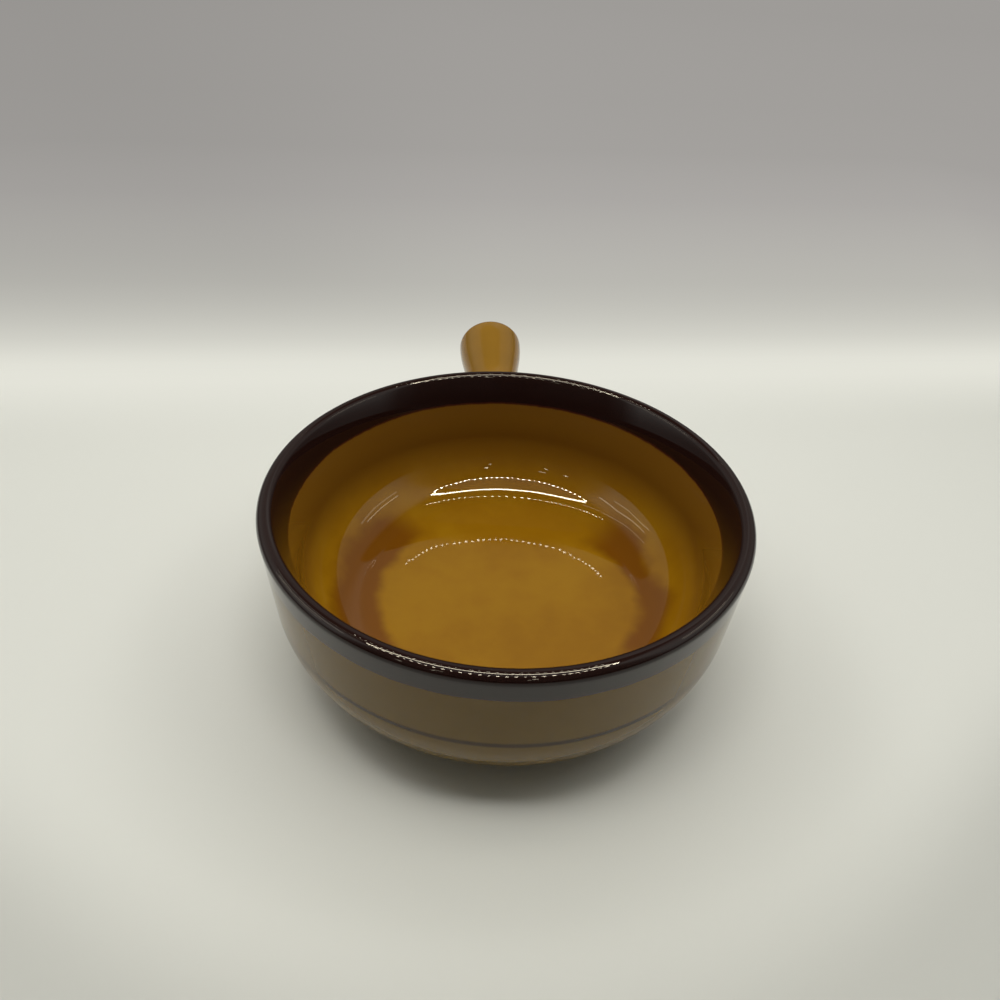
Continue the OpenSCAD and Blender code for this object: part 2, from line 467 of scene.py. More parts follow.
def darkened_by_painted_shade(finish, radius):
    """Where painted shade darkens the honey glaze: 1 at two sides of the cove, where the glaze mirrors the
    dark rim, and 0 elsewhere
    """
    out = finish.radius / radius + (finish.noise(COVE_SHADE_SCALE, detail=4) - NOISE_MIDDLE) * COVE_SHADE_STRAY
    aside = (finish.x / finish.radius - COVE_SHADE_TURN).size()
    aside = aside + (finish.noise(COVE_SHADE_SIDE_SCALE) - NOISE_MIDDLE) * COVE_SHADE_SIDE_STRAY
    right = finish.step(finish.x / radius, *COVE_SHADE_RIGHT)
    front = 1 - finish.step(finish.y / radius, *COVE_SHADE_FRONT)
    ring = finish.step(out - COVE_SHADE_SHIFT * right * front, *COVE_SHADE_START) * (1 - finish.step(out, *COVE_SHADE_END))
    return ring * finish.step(aside, *COVE_SHADE_SIDES)


def hollow_colour(finish, tones, wheel):
    """The hollow's honey glaze: light on the floor, with painted shade at two sides of the cove and painted
    shade and sheen on the side
    """
    radius = wheel.form.rim_radius
    shade = honey_colour(finish, tones.honey, tones.deep_honey)
    up = finish.step(finish.z, *(wheel.floor_z + rise * radius for rise in WALL_RISE))
    # Painted shade and sheen on the hollow's side, rising from the floor
    shade = finish.blend(up, shade, tones.wall_shade_sheen_honey)
    return finish.blend(darkened_by_painted_shade(finish, radius), shade, tones.cove_shade_honey)


def glaze_surface(finish, shade, ior=GLAZE_IOR):
    """Any of the glazes: clear and glossy, with a faint orange peel"""
    peel = finish.noise(PEEL_SCALE, detail=1)
    gloss = GLOSS + finish.noise(MOTTLE_SCALE) * GLOSS_CHANGE
    return finish.surface(Base_Color=shade, Roughness=gloss, IOR=ior, Normal=finish.bump(peel, PEEL_HEIGHT))


def with_dark(finish, tones, edge, shade):
    """Lays the dark glaze over a colour, from the height of its edge upwards"""
    above = finish.z + glaze_stray(finish) - edge
    thin = finish.step(above, -EDGE_SOFT, EDGE_SOFT)
    full = finish.step(above, 0, THIN_BAND)
    dark = finish.blend(full, tones.maroon, tones.dark)
    return finish.blend(thin, shade, dark)


def with_line(finish, tones, coats, shade):
    """Lays the brown line over a colour"""
    middle = (coats.line_low + coats.line_high) / 2
    half = (coats.line_high - coats.line_low) / 2
    off = (finish.z + glaze_stray(finish) * LINE_STRAY - middle).size()
    on_line = 1 - finish.step(off, half - LINE_SOFT, half + LINE_SOFT)
    return finish.blend(on_line, shade, tones.line)


def inside_finish(tones, coats, wheel):
    finish = Finish("inside_glaze")
    shade = hollow_colour(finish, tones, wheel)
    return glaze_surface(finish, with_dark(finish, tones, coats.inner_edge, shade))


def rim_finish(tones, coats, wheel):
    """The lip's glaze, whose inner and outer edges lie at different heights"""
    finish = Finish("rim_glaze")
    outside = finish.step(finish.radius, wheel.lip_c.x - LIP_BLEND, wheel.lip_c.x + LIP_BLEND)
    edge = coats.inner_edge + outside * (coats.outer_edge - coats.inner_edge)
    # Under the dark glaze's edge: the hollow side's painted shade and sheen inside, the outside's painted
    # shade outside
    honey = finish.blend(outside, tones.wall_shade_sheen_honey, tones.shaded_outer_honey)
    return glaze_surface(finish, with_dark(finish, tones, edge, honey))


def outside_finish(tones, coats, name="outside_glaze"):
    finish = Finish(name)
    # The outside's honey carries painted shade
    shade = with_line(finish, tones, coats, shaded_outer_colour(finish, tones))
    return glaze_surface(finish, with_dark(finish, tones, coats.outer_edge, shade), OUTER_IOR)


def handle_finish(tones, coats, wheel, handle):
    """Honey glaze, with the side's colours at its root, where it runs out onto the side"""
    finish = Finish("handle_glaze")
    wall = wheel.side_radius(coats.outer_edge) + (finish.z - coats.outer_edge) * tan(wheel.form.lean)
    off_wall = finish.radius - wall + glaze_stray(finish)
    on_wall = 1 - finish.step(off_wall, *(share * handle.fillet for share in ROOT_BLEND))
    honey = honey_colour(finish, tones.handle_honey, darker(tones.handle_honey, HANDLE_THICK))
    # Where it runs onto the side, the outside's honey with its painted shade
    side = with_dark(finish, tones, coats.outer_edge, shaded_outer_colour(finish, tones))
    return glaze_surface(finish, finish.blend(on_wall, honey, side))


def base_finish(tones):
    finish = Finish("base_glaze")
    # The outside's honey, with its painted shade
    return glaze_surface(finish, shaded_outer_colour(finish, tones))


def clay_finish(tones, name, body_colour):
    """Bare fired stoneware: matt and grainy, with specks of iron and fine turning rings"""
    finish = Finish(name)
    grain = finish.noise(SPECK_SCALE, detail=4, rough=0.7)
    patch = finish.noise(DRIFT_SCALE, detail=3)
    tone = finish.blend(patch, darker(body_colour, PATCH_SHADE), body_colour)
    specks = finish.step(finish.noise(GRIT_SCALE, detail=1), *SPECK_CUT)
    shade = finish.blend(specks, tone, tones.iron)
    rings = (finish.radius * (2 * pi / TURNING_PITCH)).math("SINE")
    relief = grain * GRAIN_SHARE + rings * (1 - GRAIN_SHARE)
    return finish.surface(
        Base_Color=shade,
        Roughness=CLAY_ROUGHNESS + grain * CLAY_ROUGHNESS_CHANGE,
        Normal=finish.bump(relief, CLAY_RELIEF),
    )


# The wheel's Geometry Nodes: their name, and what they are given, each with its kind
WHEEL_NAME = "Turn on the Wheel"
WHEEL_INPUTS = {
    "Geometry": "Geometry",
    "Steps Around": "Int",
    "Wobble": "Float",
    "Wobble Scale": "Float",
    "Seed": "Float",
    "Weld": "Float",
    "Material": "Material",
}
# Radius of the ring along which they sweep the outline
RING_RADIUS = 1.0


def wheel_tree():
    """Geometry Nodes that turn an outline, with its radius on X and its height on Y, round the bowl's axis"""
    tree = bpy.data.node_groups.new(WHEEL_NAME, "GeometryNodeTree")
    tree.is_modifier = True
    for name, kind in WHEEL_INPUTS.items():
        tree.interface.new_socket(name, in_out="INPUT", socket_type="NodeSocket" + kind)
    tree.interface.new_socket("Geometry", in_out="OUTPUT", socket_type="NodeSocketGeometry")
    work = Tree(tree, "GeometryNode")
    given = work.add("NodeGroupInput").outputs
    outline = work.add("MeshToCurve", values={"Mesh": given["Geometry"]})
    # Curve to Mesh lays the outline's X outwards from the ring and its Y downwards, so it is set back
    # by the ring's radius and flipped
    moved = {"Geometry": outline.outputs[0], "Translation": (-RING_RADIUS, 0, 0), "Scale": (1, -1, 1)}
    laid = work.add("Transform", values=moved)
    round_bowl = {"Resolution": given["Steps Around"], "Radius": RING_RADIUS}
    ring = work.add("CurvePrimitiveCircle", {"mode": "RADIUS"}, round_bowl)
    level = work.add("SetCurveNormal", {"mode": "Z_UP"}, {"Curve": ring.outputs[0]})
    turned = work.add("CurveToMesh", values={"Curve": level.outputs[0], "Profile Curve": laid.outputs[0]})
    form = {"W": given["Seed"], "Scale": given["Wobble Scale"], "Detail": 1}
    noise = work.add("ShaderNodeTexNoise", {"noise_dimensions": "4D"}, form).outputs["Color"]
    centred = work.add("ShaderNodeVectorMath", {"operation": "SUBTRACT"}, {0: noise, 1: (NOISE_MIDDLE,) * 3})
    sized = {0: centred.outputs[0], "Scale": given["Wobble"]}
    strayed = work.add("ShaderNodeVectorMath", {"operation": "SCALE"}, sized)
    done = turned.outputs[0]
    for kind, values in (
        ("MergeByDistance", {"Distance": given["Weld"]}),
        ("SetPosition", {"Offset": strayed.outputs[0]}),
        ("SetShadeSmooth", {}),
        ("RealizeInstances", {}),
        ("SetMaterial", {"Material": given["Material"]}),
    ):
        done = work.add(kind, values={"Geometry": done, **values}).outputs[0]
    work.add("NodeGroupOutput", values={"Geometry": done})
    return tree


# Points closer than this are one point, and edges shorter than a tenth of it are gone
WELD = 0.002 * MM
SLIVER = WELD / 10
# The wobble's features to a metre, and which of its many forms it takes
WOBBLE_SCALE = 14
WOBBLE_SEED = 3.7
# Corners steeper than this stay sharp
SHARP = radians(35)


def give_inputs(modifier, values):
    """Sets a Geometry Nodes modifier's inputs by their sockets' identifiers"""
    for item in modifier.node_group.interface.items_tree:
        if item.item_type == "SOCKET" and item.in_out == "INPUT" and item.name in values:
            modifier[item.identifier] = values[item.name]


def plain_mesh(obj, name):
    """The evaluated object as a plain mesh, under a new name"""
    bpy.context.view_layer.update()
    done = bpy.data.meshes.new_from_object(obj.evaluated_get(bpy.context.evaluated_depsgraph_get()))
    bpy.data.objects.remove(obj)
    done.name = name
    return done


def tidy_mesh(mesh):
    """Doubles merged, loose edges gone, faces outwards, and corners kept sharp"""
    work = bmesh.new()
    work.from_mesh(mesh)
    bmesh.ops.remove_doubles(work, verts=work.verts, dist=WELD)
    bmesh.ops.dissolve_degenerate(work, edges=work.edges, dist=SLIVER)
    bmesh.ops.delete(work, geom=[e for e in work.edges if not e.link_faces], context="EDGES")
    bmesh.ops.recalc_face_normals(work, faces=work.faces)
    for face in work.faces:
        face.smooth = True
    for edge in work.edges:
        edge.smooth = edge.is_manifold and edge.calc_face_angle() < SHARP
    work.to_mesh(mesh)
    work.free()


def show(data, name):
    """A mesh, lamp or camera as an object of the scene"""
    obj = bpy.data.objects.new(name, data)
    bpy.context.scene.collection.objects.link(obj)
    return obj


def settle(obj, node):
    """Rides a finished piece on the bowl in place of its CAD node"""
    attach(obj, BODY)
    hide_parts(node)


def turned_coat(name, outline, closed, material, form):
    """A coat turned round the bowl's axis from the outline of its cross section"""
    mesh = bpy.data.meshes.new(name + "_outline")
    count = len(outline)
    edges = [(i, (i + 1) % count) for i in range(count if closed else count - 1)]
    mesh.from_pydata([(p.x, p.y, 0) for p in outline], edges, [])
    obj = show(mesh, name + "_outline")
    modifier = obj.modifiers.new("wheel", "NODES")
    modifier.node_group = bpy.data.node_groups.get(WHEEL_NAME) or wheel_tree()
    give_inputs(modifier, {
        "Steps Around": form.steps_around,
        "Wobble": form.wobble,
        "Wobble Scale": WOBBLE_SCALE,
        "Seed": WOBBLE_SEED,
        "Weld": WELD,
        "Material": material,
    })
    done = plain_mesh(obj, name)
    tidy_mesh(done)
    return show(done, name)


class BowlPiece:
    """What every operator here shares: the settings and the outlines that follow from them"""

    bl_options = {"REGISTER", "UNDO"}

    def build(self, context):
        """Takes the panel's settings over from the scene and makes the operator's own piece"""
        scene = context.scene
        self.form, self.coats, self.handle = scene.bowl_form, scene.bowl_coats, scene.bowl_handle
        self.tones, self.studio = scene.bowl_finishes, scene.bowl_studio
        self.wheel = Wheel(self.form, self.coats)
        self.make()
        return {"FINISHED"}


class TurnedPiece(BowlPiece):
    """A coat of glaze that is turned between its finished outline and its bare one"""

    slot = "honey_glaze"
    # It is a ring, unless it reaches the bowl's axis
    ring = True

    def make(self):
        finished, bare = self.outlines(self.wheel, self.coats.coat)
        coat = turned_coat(self.piece, finished + bare[::-1], self.ring, self.finish(), self.form)
        settle(coat, self.node)


class BOWL_OT_inside_coat(TurnedPiece, bpy.types.Operator):
    """Turns the honey glaze of the hollow"""
    bl_idname = "bowl.inside_coat"
    bl_label = "Inside Glaze"
    piece, node = "inside_coat", "inside_glaze"
    ring = False

    def execute(self, context):
        return self.build(context)

    def outlines(self, wheel, coat):
        return wheel.hollow(0), wheel.hollow(coat)

    def finish(self):
        return inside_finish(self.tones, self.coats, self.wheel)


class BOWL_OT_rim_coat(TurnedPiece, bpy.types.Operator):
    """Turns the dark glaze over the lip"""
    bl_idname = "bowl.rim_coat"
    bl_label = "Rim Glaze"
    piece, node, slot = "rim_coat", "rim_glaze", "dark_glaze"

    def execute(self, context):
        return self.build(context)

    def outlines(self, wheel, coat):
        return wheel.rim(0), wheel.rim(coat)

    def finish(self):
        return rim_finish(self.tones, self.coats, self.wheel)


class BOWL_OT_outside_coat(TurnedPiece, bpy.types.Operator):
    """Turns the honey glaze of the side, with the groove for the brown line"""
    bl_idname = "bowl.outside_coat"
    bl_label = "Outside Glaze"
    piece, node = "outside_coat", "outside_glaze"

    def execute(self, context):
        return self.build(context)

    def outlines(self, wheel, coat):
        return wheel.grooved_side(), wheel.side(coat)

    def finish(self):
        return outside_finish(self.tones, self.coats)


class BOWL_OT_line_coat(TurnedPiece, bpy.types.Operator):
    """Turns the brown line in its groove"""
    bl_idname = "bowl.line_coat"
    bl_label = "Brown Line"
    piece, node, slot = "line_coat", "line_band", "line_colour"

    def execute(self, context):
        return self.build(context)

    def outlines(self, wheel, coat):
        return wheel.line(0), wheel.line(self.coats.line_depth)

    def finish(self):
        return outside_finish(self.tones, self.coats, "line_colour")


class BOWL_OT_base_coat(TurnedPiece, bpy.types.Operator):
    """Turns the honey glaze under the base"""
    bl_idname = "bowl.base_coat"
    bl_label = "Base Glaze"
    piece, node = "base_coat", "base_glaze"
    ring = False

    def execute(self, context):
        return self.build(context)

    def outlines(self, wheel, coat):
        return wheel.base(0), wheel.base(coat)

    def finish(self):
        return base_finish(self.tones)


class BOWL_OT_handle_coat(BowlPiece, bpy.types.Operator):
    """Models the handle's honey glaze, which runs out onto the side in a small fillet"""
    bl_idname = "bowl.handle_coat"
    bl_label = "Handle Glaze"

    FILLET_STEPS = 14
    LONG_STEPS = 56
    DOME_STEPS = 24
    # Times that a guess of where the handle meets the side is bettered
    PASSES = 12

    def execute(self, context):
        return self.build(context)

    def profile(self, along):
        """Radius of the handle at a distance along its axis from the side, short of the dome"""
        h = self.handle
        if along < h.neck_at:
            share = (along + self.sink) / (h.neck_at + self.sink)
            return h.neck_radius + (h.root_radius - h.neck_radius) * (1 - share) ** 2
        share = (along - h.neck_at) / (h.long - h.dome - h.neck_at)
        return h.neck_radius + (h.knob_radius - h.neck_radius) * (1 - cos(pi * share)) / 2

    def at(self, along, out, turn):
        """The point at a distance along the axis, and out from it in a direction round it"""
        return self.start + along * self.axis + out * (cos(turn) * self.across + sin(turn) * self.upward)

    def wall_along(self, out, turn, guess):
        """How far along the axis the side's surface lies, for a line out from the axis"""
        along = guess
        for _ in range(self.PASSES):
            p = self.at(along, out, turn)
            along -= (hypot(p.x, p.y) - self.wheel.side_radius(p.z)) / cos(self.handle.rise)
        return along

    def fillet_ring(self, dip):
        """One ring of the fillet, from the side's surface at dip 1 to the handle's own at dip 0"""
        h = self.handle
        points = []
        for i in range(h.steps_around):
            turn = 2 * pi * i / h.steps_around
            off_wall = h.fillet * (1 - sin(dip * pi / 2))
            off_handle = h.fillet * (1 - cos(dip * pi / 2))
            along = 0
            for _ in range(self.PASSES):
                out = self.profile(along) + off_handle
                along = self.wall_along(out, turn, along) + off_wall
            points.append((along, out))
        return points

    def rings(self):
        """The handle's finished surface as rings of points, each point along the axis and out from it"""
        h = self.handle
        rings = [self.fillet_ring(1 - i / self.FILLET_STEPS) for i in range(self.FILLET_STEPS + 1)]
        last = rings[-1]
        knob_at = h.long - h.dome
        for i in range(1, self.LONG_STEPS + 1):
            share = i / self.LONG_STEPS
            alongs = [a + (knob_at - a) * share for a, _ in last]
            rings.append([(a, self.profile(a)) for a in alongs])
        for i in range(1, self.DOME_STEPS):
            a = pi / 2 * i / self.DOME_STEPS
            rings.append([(knob_at + h.dome * sin(a), h.knob_radius * cos(a))] * h.steps_around)
        return rings

    def skin(self):
        """The handle's finished surface as a mesh, open where it meets the side"""
        around = self.handle.steps_around
        rings = self.rings()
        turns = [2 * pi * i / around for i in range(around)]
        verts = [self.at(along, out, turn) for ring in rings for (along, out), turn in zip(ring, turns)]
        verts.append(self.at(self.handle.long, 0, 0))
        faces = []
        for k in range(len(rings) - 1):
            for i in range(around):
                j = (i + 1) % around
                faces.append((k * around + i, k * around + j, (k + 1) * around + j, (k + 1) * around + i))
        tip = (len(rings) - 1) * around
        faces += [(tip + i, tip + (i + 1) % around, len(verts) - 1) for i in range(around)]
        mesh = bpy.data.meshes.new("handle_skin")
        mesh.from_pydata(verts, [], faces)
        return mesh

    def make(self):
        h, wheel = self.handle, self.wheel
        root = wheel.on_side(self.form.height - h.drop, 0)
        self.start = Vector((0, root.x, root.y))
        self.axis = Vector((0, cos(h.rise), sin(h.rise)))
        self.across = Vector((1, 0, 0))
        self.upward = self.across.cross(self.axis)
        tilt = sin(h.rise + self.form.lean)
        self.sink = h.root_radius * (h.root_radius / (2 * root.x) + tilt) + 2 * self.coats.coat
        mesh = self.skin()
        mesh.materials.append(handle_finish(self.tones, self.coats, wheel, h))
        tidy_mesh(mesh)
        skin = show(mesh, "handle_skin")
        wall = skin.modifiers.new("coat", "SOLIDIFY")
        wall.thickness = self.coats.coat
        wall.offset = -1
        wall.use_even_offset = True
        done = plain_mesh(skin, "handle_coat")
        tidy_mesh(done)
        settle(show(done, "handle_coat"), "handle_glaze")


class BOWL_OT_bare_clay(BowlPiece, bpy.types.Operator):
    """Finishes the bare clay of the foot ring and the clay and slip under the glaze"""
    bl_idname = "bowl.bare_clay"
    bl_label = "Bare Clay"

    def execute(self, context):
        return self.build(context)

    def make(self):
        clay = clay_finish(self.tones, "stoneware", self.tones.clay)
        slip = clay_finish(self.tones, "slip", self.tones.slip)
        for node, material in (("stoneware_bowl", clay), ("stoneware_handle", clay), ("luting_slip", slip)):
            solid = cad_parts[node]
            if not solid.material_slots:
                raise RuntimeError(f"{node} has no material slot")
            for place in solid.material_slots:
                place.material = material


# The floor's radius in metres and its facets, its roughness, and its faint mottle in features to a metre
FLOOR_RADIUS = 6.0
FLOOR_STEPS = 96
FLOOR_ROUGHNESS = 0.6
SOIL_SHARE = 0.985
SOIL_SCALE = 9
# How light the backdrop looks, by its depth behind the bowl in rim radii, with painted shade darkening
# it further back
BACKDROP = (
    (0, 0.78), (2.4, 0.78), (2.7, 0.75), (2.87, 0.70), (3.05, 0.64), (3.25, 0.60), (3.42, 0.565),
    (3.6, 0.54), (3.8, 0.515), (4.2, 0.48), (5.15, 0.445), (6.9, 0.39), (9.3, 0.355), (13.2, 0.345),
    (20, 0.34), (34, 0.33),
)
BACKDROP_END = 36
# The backdrop stands square to the picture, which is turned by the camera's roll
BACKDROP_SLOPE = 0.15
# It comes round the bowl's sides too, this much further out
BACKDROP_ROUND = 2.5
# The depth at which it takes over from the lit floor. In the glaze it shows ahead of the bowl only
BACKDROP_START = (1.6, 2.6)
MIRRORED_START = (0, 2)
# The floor's and the backdrop's tints, and the depth from which and over which one turns to the other
WARM = (1.005, 1.0, 0.90)
GREY = (1.04, 1.0, 0.955)
GREY_FROM = 2.6
GREY_OVER = 4
# Painted shade: the backdrop darkens towards the left, by the distance aside over the distance ahead,
# which counts as 1 or more, and from some distance ahead on
LEAST_AHEAD = 1
LEFT_TURN = (0, 0.6)
LEFT_START = (2.6, 5)
LEFT_DARK = 0.12
LEFT_TONE = (0.05, 0.05, 0.05)
# Painted shade: the floor darkens in the two front corners, where less light falls, by the distance out
# from the bowl, plus a share of that towards the camera
CORNER_SPREAD = 0.6
CORNER_OUT = (2.25, 3.0)
CORNER_FRONT = (0.2, 1.2)
CORNER_SHADE = 0.26
CORNER_SHADE_TONE = (0.02, 0.02, 0.02)
# How bright the room is, by degrees round from straight ahead of the camera
ROOM = (
    (-180, 0.04), (-130, 0.05), (-121, 0.14), (-111, 0.60), (-95, 0.58), (-75, 0.42), (-55, 0.32),
    (-30, 0.25), (-12, 0.21), (0, 0.24), (5, 0.27), (10, 0.42), (15, 0.38), (24, 0.22), (45, 0.26),
    (60, 0.32), (78, 0.44), (95, 0.52), (108, 0.46), (118, 0.14), (130, 0.05), (180, 0.04),
)
# It brightens from a share of its light to all of it between these heights, in degrees over the horizon
ROOM_FOOT = (4, 22)
FOOT_SHARE = 0.3
# What the camera sees of it past the floor, and its tint
ROOM_SEEN = 0.30
ROOM_TINT = (0.98, 1.01, 0.96)
# The dark ceiling, its edges ahead, on the right and on the left as distances over its height, and the
# least height that a direction counts as
CEILING = 0.03
CEILING_AHEAD = (0.872, 0.892)
CEILING_RIGHT = (0.38, 0.56)
CEILING_LEFT = (0.52, 0.85)
LEAST_HEIGHT = 0.01
# The strip lamps: width, radiance, pitch of the dots or 0 for a plain strip, and a chain of points under
# the ceiling, in rim radii to the right and ahead of the rim's centre, as seen from the camera. The small
# back strip is seen enlarged, so its points are placed the most finely
STRIPS = (
    ("front_strip", 22 * MM, 40, 0, (
        (3.1, 0.2), (2.3, 0.45), (1.5, 0.3), (0.4, 0.0), (-1.0, -0.1), (-2.4, -0.1), (-3.7, -0.4))),
    ("loop_strip", 12.5 * MM, 40, 24.5 * MM, (
        (3.15, 0.2), (3.5, -0.7), (3.3, -1.5), (2.4, -2.9), (1.1, -3.6), (-0.2, -3.8), (-1.6, -3.6),
        (-2.5, -3.2), (-3.2, -2.6), (-3.8, -1.9), (-4.1, -1.1), (-3.9, -0.4))),
    ("inner_strip", 6 * MM, 24, 10.4 * MM, (
        (2.1, 2.3), (1.4, 2.2), (0.2, 2.15), (-0.6, 2.0), (-1.5, 1.75), (-2.6, 1.75), (-3.3, 2.1))),
    ("side_strip", 6 * MM, 5, 0, (
        (-3.1, 0.4), (-3.9, 0.6), (-5.2, 1.4), (-6.1, 2.0), (-7.4, 4.2))),
    ("back_strip", 0.6 * MM, 6.5, 2.2 * MM, (
        (-0.518, 7.326), (-0.445, 7.239), (-0.379, 7.160), (-0.301, 7.118), (-0.149, 7.063),
        (0.002, 7.039), (0.179, 7.066), (0.282, 7.100), (0.365, 7.171), (0.451, 7.250), (0.535, 7.373))),
    ("left_streak", 26 * MM, 4, 0, ((8.2, 3.7), (8.3, 1.6), (8.1, -0.6))),
    ("left_faint_streak", 60 * MM, 1.6, 0, ((9.9, 4.4), (10.6, 1.8), (10.2, -1.5))),
    ("right_streak", 30 * MM, 4, 0, ((-7.4, -2.6), (-7.8, -0.3), (-9.4, 1.1), (-10.6, 3.1))),
    ("right_faint_streak", 40 * MM, 3, 0, ((-10.8, -2.6), (-12.5, -0.8), (-12.9, 1.8), (-14.8, 3.4))),
    ("glint", 24 * MM, 16, 0, ((2.39, -8.1), (2.39, -8.7))),
    ("glint", 20 * MM, 10, 0, ((2.55, -10.9), (2.55, -11.6))),
    ("glint", 30 * MM, 7, 0, ((-3.3, -8.33), (-3.9, -8.33))),
    ("glint", 26 * MM, 12, 0, ((-5.05, -10.9), (-5.05, -11.6))),
    ("glint", 30 * MM, 14, 0, ((-6.92, -8.4), (-6.92, -8.9))),
)
STRIP_TINT = (1.0, 0.90, 0.68)
# How much longer each run of a strip is than the way between its points, in widths of the strip
STRIP_OVERLAP = 0.3
# How much of its pitch each dot fills
DOT_SHARE = 0.35
# A ray's glossy depth is 1 after its first mirroring and 2 after its second
FIRST_MIRRORING = 1.5
# The soft lights above the bowl, which gloss doesn't mirror: middle, size and radiance
SOFT = (
    ("soft_front", (-0.3, -1.5), (4.6, 1.4), 9.8),
    ("soft_top", (-0.3, 0), (7, 1.6), 1.4),
    ("soft_back", (0, 5), (12, 5), 2.0),
    ("soft_left", (-5.5, 1), (3, 6), 2.7),
    ("soft_right", (5.5, 1), (3, 6), 2.7),
)
# The pale panel inside the loop, which only gloss mirrors: middle, width and depth, and radiance
PANEL_PLACE = (-0.3, -1.8)
PANEL_SIZE = (7.3, 3.8)
PANEL_RADIANCE = 0.29
# Lamps in one plane would hide each other in the gloss
APART = 2 * MM


class BOWL_OT_stage(BowlPiece, bpy.types.Operator):
    """Sets the pale floor, the lamps, the room that the glaze mirrors and the camera"""
    bl_idname = "bowl.stage"
    bl_label = "Stage"

    def execute(self, context):
        return self.build(context)

    def ground(self, x, y, z):
        """A point at x and y rim radii from the rim's centre, right and ahead, and z metres over the rim"""
        level = self.form.rim_radius * (x * self.right + y * self.ahead)
        return level + Vector((0, 0, self.form.height + z))

    def lamp(self, name, place, aim, size, radiance, tint=(1, 1, 1), strip=False, dots=0):
        """A lamp of a given brightness. A strip shows in the first mirroring only, plain or as dots"""
        data = bpy.data.lights.new(name, "AREA")
        data.shape = "RECTANGLE"
        data.size, data.size_y = size
        data.energy = pi * size[0] * size[1] * radiance
        data.color = tint
        if strip:
            data.use_nodes = True
            tree = Tree(data.node_tree, "ShaderNode")
            spot = tree.add("NewGeometry").outputs["Parametric"]
            along = tree.value("SeparateXYZ", values={0: spot})
            share = DOT_SHARE if dots else 1
            lit = (along * dots).math("FRACT").math("LESS_THAN", share)
            depth = Value(tree, tree.add("LightPath").outputs["Glossy Depth"])
            direct = depth.math("LESS_THAN", FIRST_MIRRORING)
            tree.links.new((lit * direct / share).socket, tree.nodes["Emission"].inputs["Strength"])
        obj = show(data, name)
        obj.matrix_world = aim.to_4x4()
        obj.matrix_world.translation = place
        obj.visible_camera = False
        return obj

    def facing_down(self, x_axis):
        """The turn of a lamp that shines straight down, with its X along x_axis"""
        z = Vector((0, 0, 1))
        x = x_axis.normalized()
        return Matrix((x, z.cross(x), z)).transposed()

    def make(self):
        a = self.studio.azimuth
        self.right = Vector((cos(a), sin(a), 0))
        self.ahead = Vector((-sin(a), cos(a), 0))
        self.make_floor()
        self.make_lamps()
        self.make_world()
        self.make_camera()

    def backdrop(self, finish, ahead, depth):
        """The backdrop's look by its depth, with painted shade darkening it further back and towards the left
        """
        stops = []
        for d, light in BACKDROP:
            far = min(max((d - GREY_FROM) / GREY_OVER, 0), 1)
            tint = [w + (g - w) * far for w, g in zip(WARM, GREY)]
            stops.append((d / BACKDROP_END, [light * t for t in tint]))
        seen = finish.add("ValToRGB", {"stops": stops}, {0: depth / BACKDROP_END}).outputs[0]
        right = (finish.x * self.right.x + finish.y * self.right.y) / self.form.rim_radius
        aside = right / ahead.most(LEAST_AHEAD)
        left = finish.step(aside * -1, *LEFT_TURN) * finish.step(ahead, *LEFT_START)
        return finish.blend(left * LEFT_DARK, seen, LEFT_TONE)

    def lit_floor(self, finish, ahead):
        """The pale floor's colour, with painted shade darkening the two front corners"""
        grey = self.studio.floor_grey
        soil = finish.noise(SOIL_SCALE, detail=3)
        clean = [grey * t for t in WARM]
        shade = finish.blend(soil, [grey * SOIL_SHARE * t for t in WARM], clean)
        out = finish.radius / self.form.rim_radius - ahead * CORNER_SPREAD
        # Painted shade in the two front corners
        corner = finish.step(out, *CORNER_OUT) * finish.step(ahead * -1, *CORNER_FRONT)
        return finish.blend(corner * CORNER_SHADE, shade, CORNER_SHADE_TONE)

    def make_floor(self):
        """A flat floor that keeps the bowl's shadow and fades into a darker backdrop behind it"""
        mesh = bpy.data.meshes.new("floor")
        work = bmesh.new()
        bmesh.ops.create_circle(work, cap_ends=True, segments=FLOOR_STEPS, radius=FLOOR_RADIUS)
        work.to_mesh(mesh)
        work.free()
        finish = Finish("floor")
        radius = self.form.rim_radius
        square = self.ahead - BACKDROP_SLOPE * self.right
        ahead = (finish.x * square.x + finish.y * square.y) / radius
        depth = ahead.most(finish.radius / radius - BACKDROP_ROUND)
        glow = finish.add("Emission", values={"Color": self.backdrop(finish, ahead, depth)})
        matt = finish.add("BsdfPrincipled", values={
            "Base Color": self.lit_floor(finish, ahead),
            "Roughness": FLOOR_ROUGHNESS,
        })
        path = finish.add("LightPath")
        camera = Value(finish, path.outputs["Is Camera Ray"])
        glossy = Value(finish, path.outputs["Is Glossy Ray"])
        seen = (camera + glossy * finish.step(ahead, *MIRRORED_START)).least(1)
        share = finish.step(depth, *BACKDROP_START) * seen
        both = finish.add("MixShader", values={0: share, 1: matt.outputs[0], 2: glow.outputs[0]})
        finish.links.new(both.outputs[0], finish.output.inputs["Surface"])
        mesh.materials.append(finish.material)
        show(mesh, "floor")

